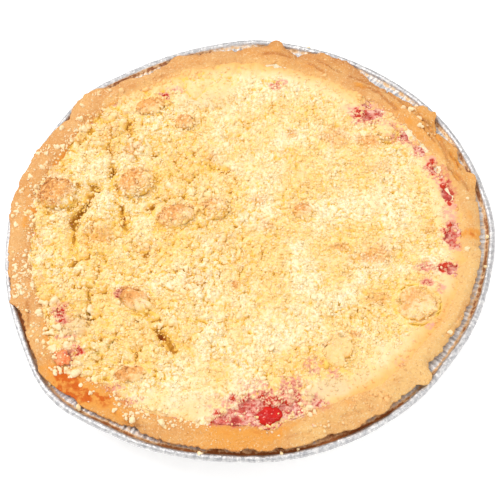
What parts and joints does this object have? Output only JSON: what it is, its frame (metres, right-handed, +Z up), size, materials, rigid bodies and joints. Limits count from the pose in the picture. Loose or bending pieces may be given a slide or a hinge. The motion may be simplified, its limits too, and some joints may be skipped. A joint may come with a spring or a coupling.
{
  "type": "fruit crumble pie in a foil tin",
  "caption": "Round rhubarb and apple pie with a browned pastry rim and a rough crumble topping, in its shallow foil tin with a rolled, crimped and slightly dented edge",
  "frame": {"origin": "centre of the tin's flat base, on the surface it stands on", "axes": "+Z up out of the pie, X and Y level; the picture looks along +Y from above the -Y side"},
  "size_m": [0.2222, 0.2228, 0.0399],
  "materials": {
    "foil": "bright crinkled foil",
    "pastry": "matt golden baked pastry, browner at its outer edge",
    "fruit_filling": "glossy red cooked fruit",
    "fruit_orange": "glossy orange cooked fruit",
    "crumble": "matt pale yellow crumbs",
    "toasted_crumble": "matt crumbs, toasted light brown on top"
  },
  "bodies": {
    "root": {"foil_tin": "foil", "crust": "pastry", "filling": "fruit_filling", "crumble": "crumble", "crumble_lump_01": "toasted_crumble", "crumble_lump_02": "toasted_crumble", "crumble_lump_03": "toasted_crumble", "crumble_lump_04": "toasted_crumble", "crumble_lump_05": "toasted_crumble", "crumble_lump_06": "toasted_crumble", "crumble_lump_07": "toasted_crumble", "crumble_lump_08": "toasted_crumble", "crumble_lump_09": "toasted_crumble", "crumble_lump_10": "toasted_crumble", "crumble_lump_11": "toasted_crumble", "crumble_lump_12": "toasted_crumble", "fruit_piece_red": "fruit_filling", "fruit_piece_orange": "fruit_orange"}
  },
  "joints": []
}
